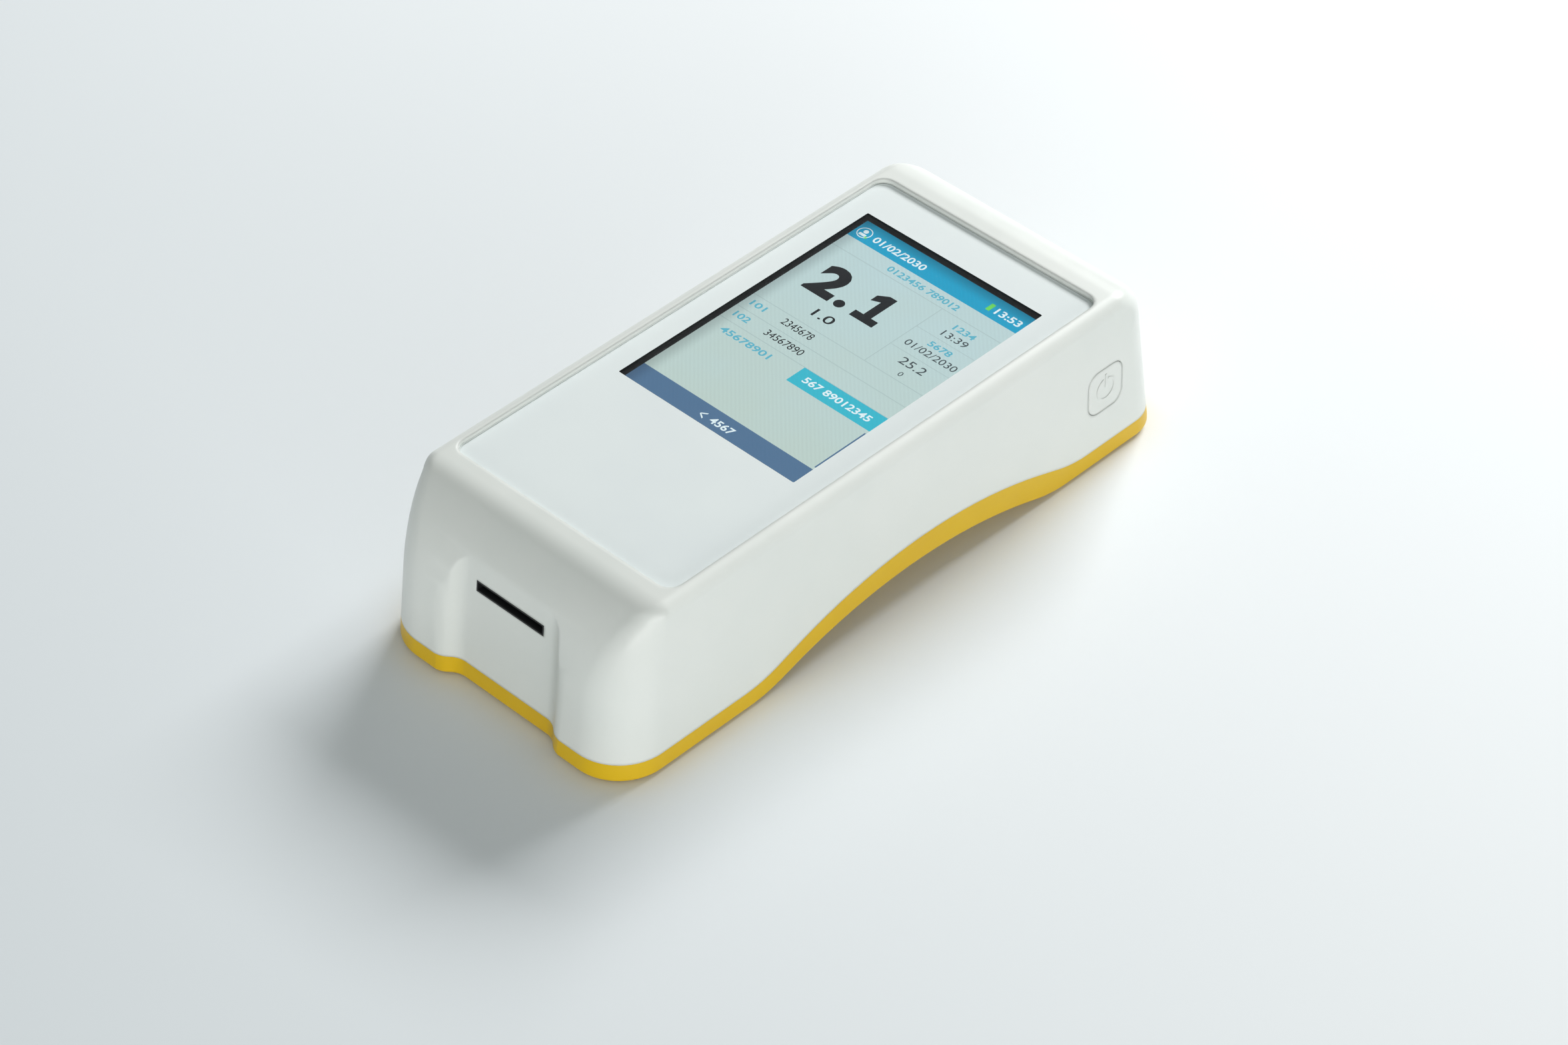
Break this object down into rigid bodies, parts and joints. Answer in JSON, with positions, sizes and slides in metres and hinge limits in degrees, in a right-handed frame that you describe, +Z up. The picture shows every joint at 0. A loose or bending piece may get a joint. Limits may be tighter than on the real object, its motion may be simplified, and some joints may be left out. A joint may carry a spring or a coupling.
{
  "type": "inr meter",
  "caption": "Hand-sized blood clotting meter: white shell over a yellow arched base, flush lens with colour screen, front chip slot and side power button.",
  "frame": {"origin": "middle of the bottom, on the table plane under the foot pads", "axes": "+Z up; -Y is the front with the chip slot; +X is the side with the power button"},
  "size_m": [0.0722, 0.1663, 0.0411],
  "materials": {
    "white_shell": "satin white moulded ABS",
    "yellow_shell": "satin yellow moulded ABS",
    "clear_lens": "clear acrylic, polished",
    "white_print": "white screen print behind the lens",
    "adhesive": "black foam adhesive tape",
    "touch_film": "clear sensor film",
    "screen": "lit colour panel",
    "light_guide": "white light guide tray",
    "bracket": "black glass-filled nylon",
    "screw_steel": "zinc plated",
    "ribbon": "amber polyimide",
    "connector": "ivory nylon",
    "board": "green solder mask",
    "chip_black": "black epoxy",
    "shield": "tinned shield can",
    "steel": "stamped stainless",
    "white_button": "satin white moulded ABS",
    "switch_black": "black thermoplastic",
    "guide_black": "black ABS",
    "aluminium": "machined",
    "film_amber": "amber polyimide heater film",
    "lens_barrel": "black barrel",
    "battery": "blue shrink sleeve",
    "foam": "grey foam",
    "lead": "red and black silicone wire",
    "foot_rubber": "black rubber"
  },
  "bodies": {
    "case": {"upper_housing": "white_shell", "lower_housing": "yellow_shell", "cover_lens": "clear_lens", "lens_print": "white_print", "lens_adhesive": "adhesive", "touch_film": "touch_film", "lcd_panel": "screen", "lcd_backlight": "light_guide", "display_bracket": "bracket", "bracket_screws": "screw_steel", "display_flex": "ribbon", "display_connector": "connector", "main_board": "board", "board_screws": "screw_steel", "processor": "chip_black", "wireless_module": "shield", "buzzer": "chip_black", "usb_socket": "steel", "tact_switch": "switch_black", "chip_guide": "guide_black", "heater_plate": "aluminium", "heater_film": "film_amber", "guide_screws": "screw_steel", "optics_housing": "guide_black", "led_board": "board", "camera_lens": "lens_barrel", "camera_board": "board", "lever_pin": "steel", "detect_switch": "switch_black", "battery_pack": "battery", "battery_pad": "foam", "battery_connector": "connector", "battery_leads": "lead", "housing_screws": "screw_steel", "foot_pads": "foot_rubber"},
    "button": {"power_button": "white_button"},
    "plunger": {"switch_plunger": "switch_black"},
    "lever": {"detect_lever": "connector"}
  },
  "joints": [
    {"name": "button_press", "type": "slide", "parent": "case", "child": "button", "axis": [-1, 0, 0], "range_m": [0, 0.0004], "stiffness_N_per_m": 3000},
    {"name": "plunger_press", "type": "slide", "parent": "case", "child": "plunger", "axis": [-1, 0, 0], "range_m": [0, 0.0004]},
    {"name": "lever_swing", "type": "hinge", "parent": "case", "child": "lever", "pos_m": [0.006, -0.0475, 0.0233], "axis": [1, 0, 0], "range_deg": [-16, 0], "stiffness_Nm_per_rad": 0.02}
  ],
  "couplings": [
    {"joint": "plunger_press", "follows": "button_press", "ratio": 1}
  ]
}
